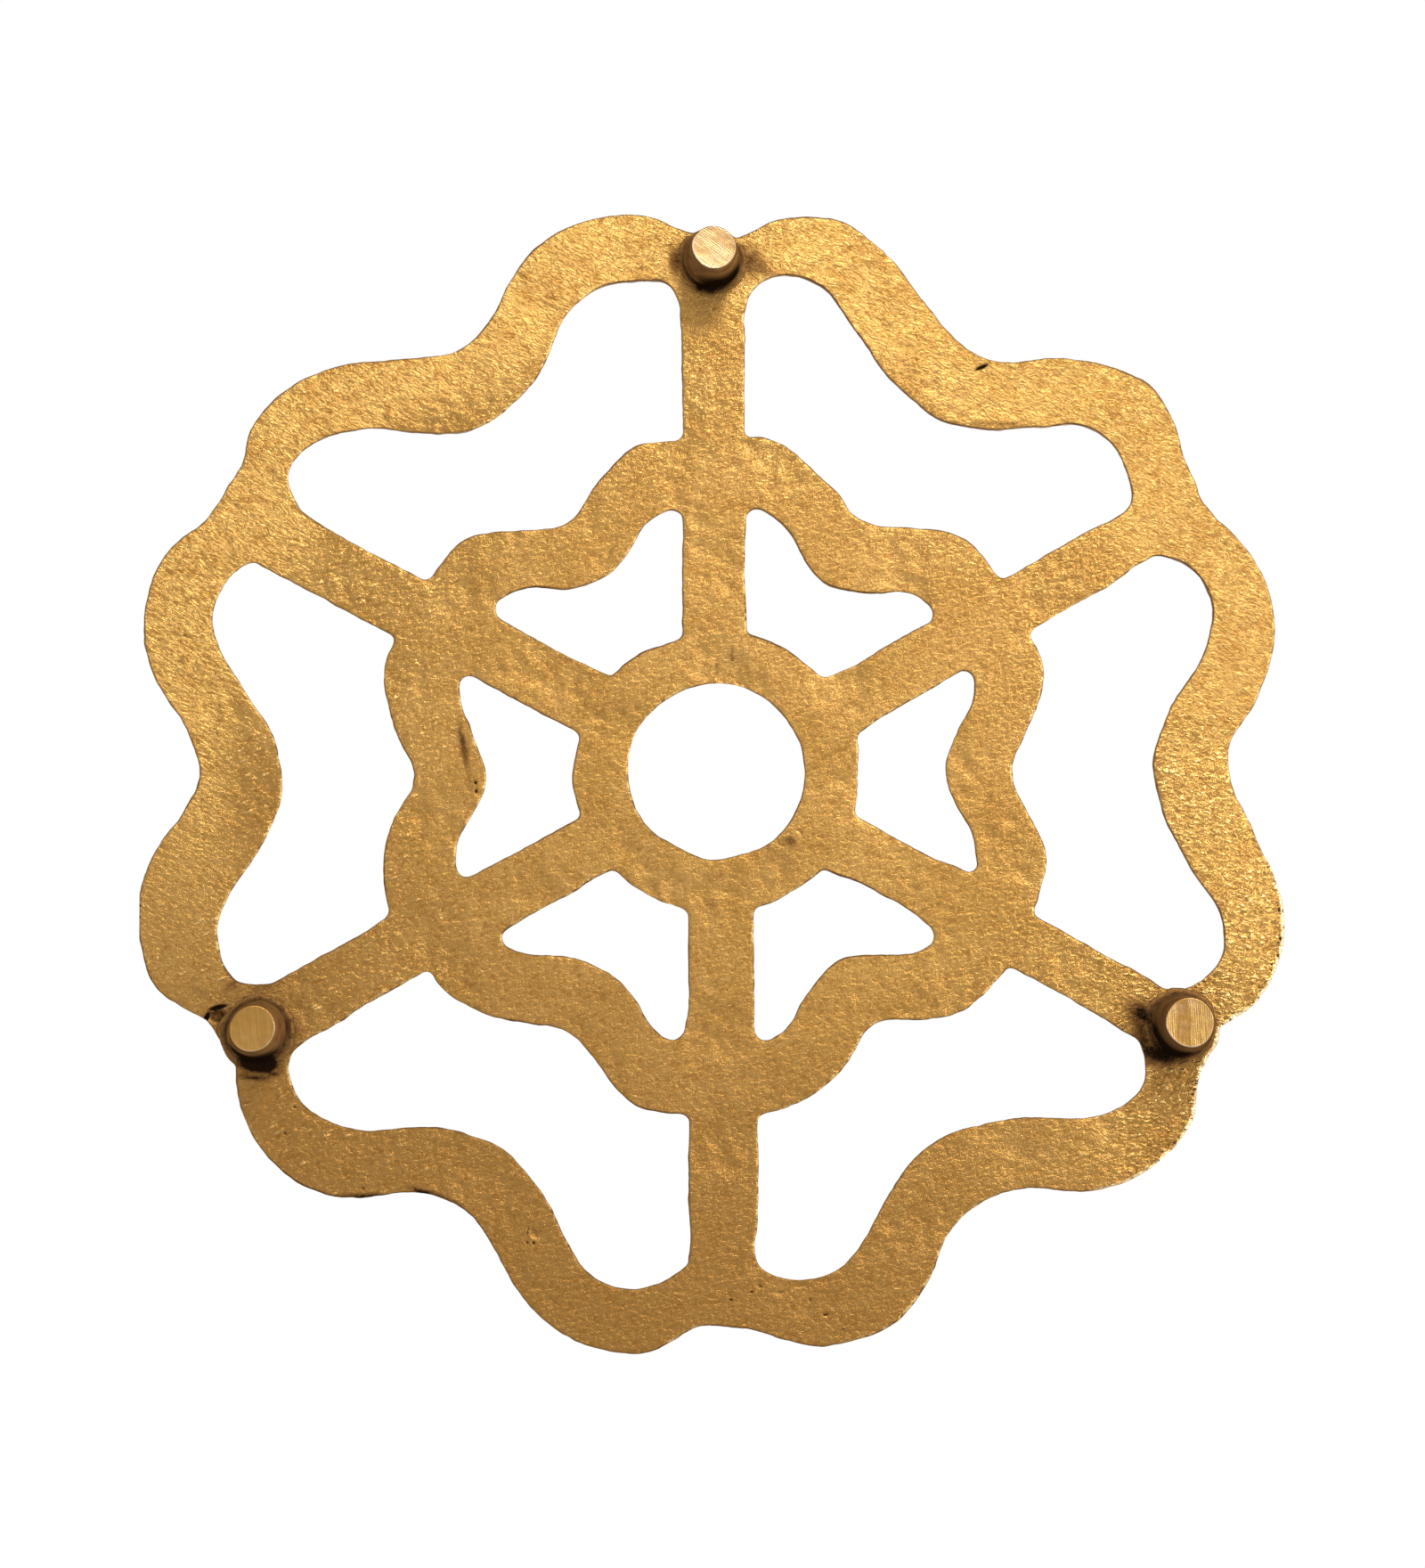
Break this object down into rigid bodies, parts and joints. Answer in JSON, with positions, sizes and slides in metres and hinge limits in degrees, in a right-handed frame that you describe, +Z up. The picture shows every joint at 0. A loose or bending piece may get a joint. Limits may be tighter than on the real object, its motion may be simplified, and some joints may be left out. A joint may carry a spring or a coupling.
{
  "type": "trivet",
  "caption": "Round openwork cast brass trivet with a lobed rose outline, an inner rose, radial spokes, an open hub ring and short brazed peg legs, for standing a hot pan on a table.",
  "frame": {"origin": "centre of the outline, on the plane that the three leg tips stand on", "axes": "+Z up through the plate, legs down; +Y towards the back leg; +X right, so the front legs are at -Y on both sides"},
  "size_m": [0.1772, 0.1768, 0.0185],
  "materials": {
    "cast_brass": "sand-cast, fine orange-peel grain, satin with a warm brown patina",
    "leg_brass": "turned sides gone brown, tips sawn and filed bright",
    "braze": "dull, heat-stained"
  },
  "bodies": {
    "root": {"rose_grille": "cast_brass", "leg_back": "leg_brass", "leg_front_left": "leg_brass", "leg_front_right": "leg_brass", "braze_back": "braze", "braze_front_left": "braze", "braze_front_right": "braze"}
  },
  "joints": []
}
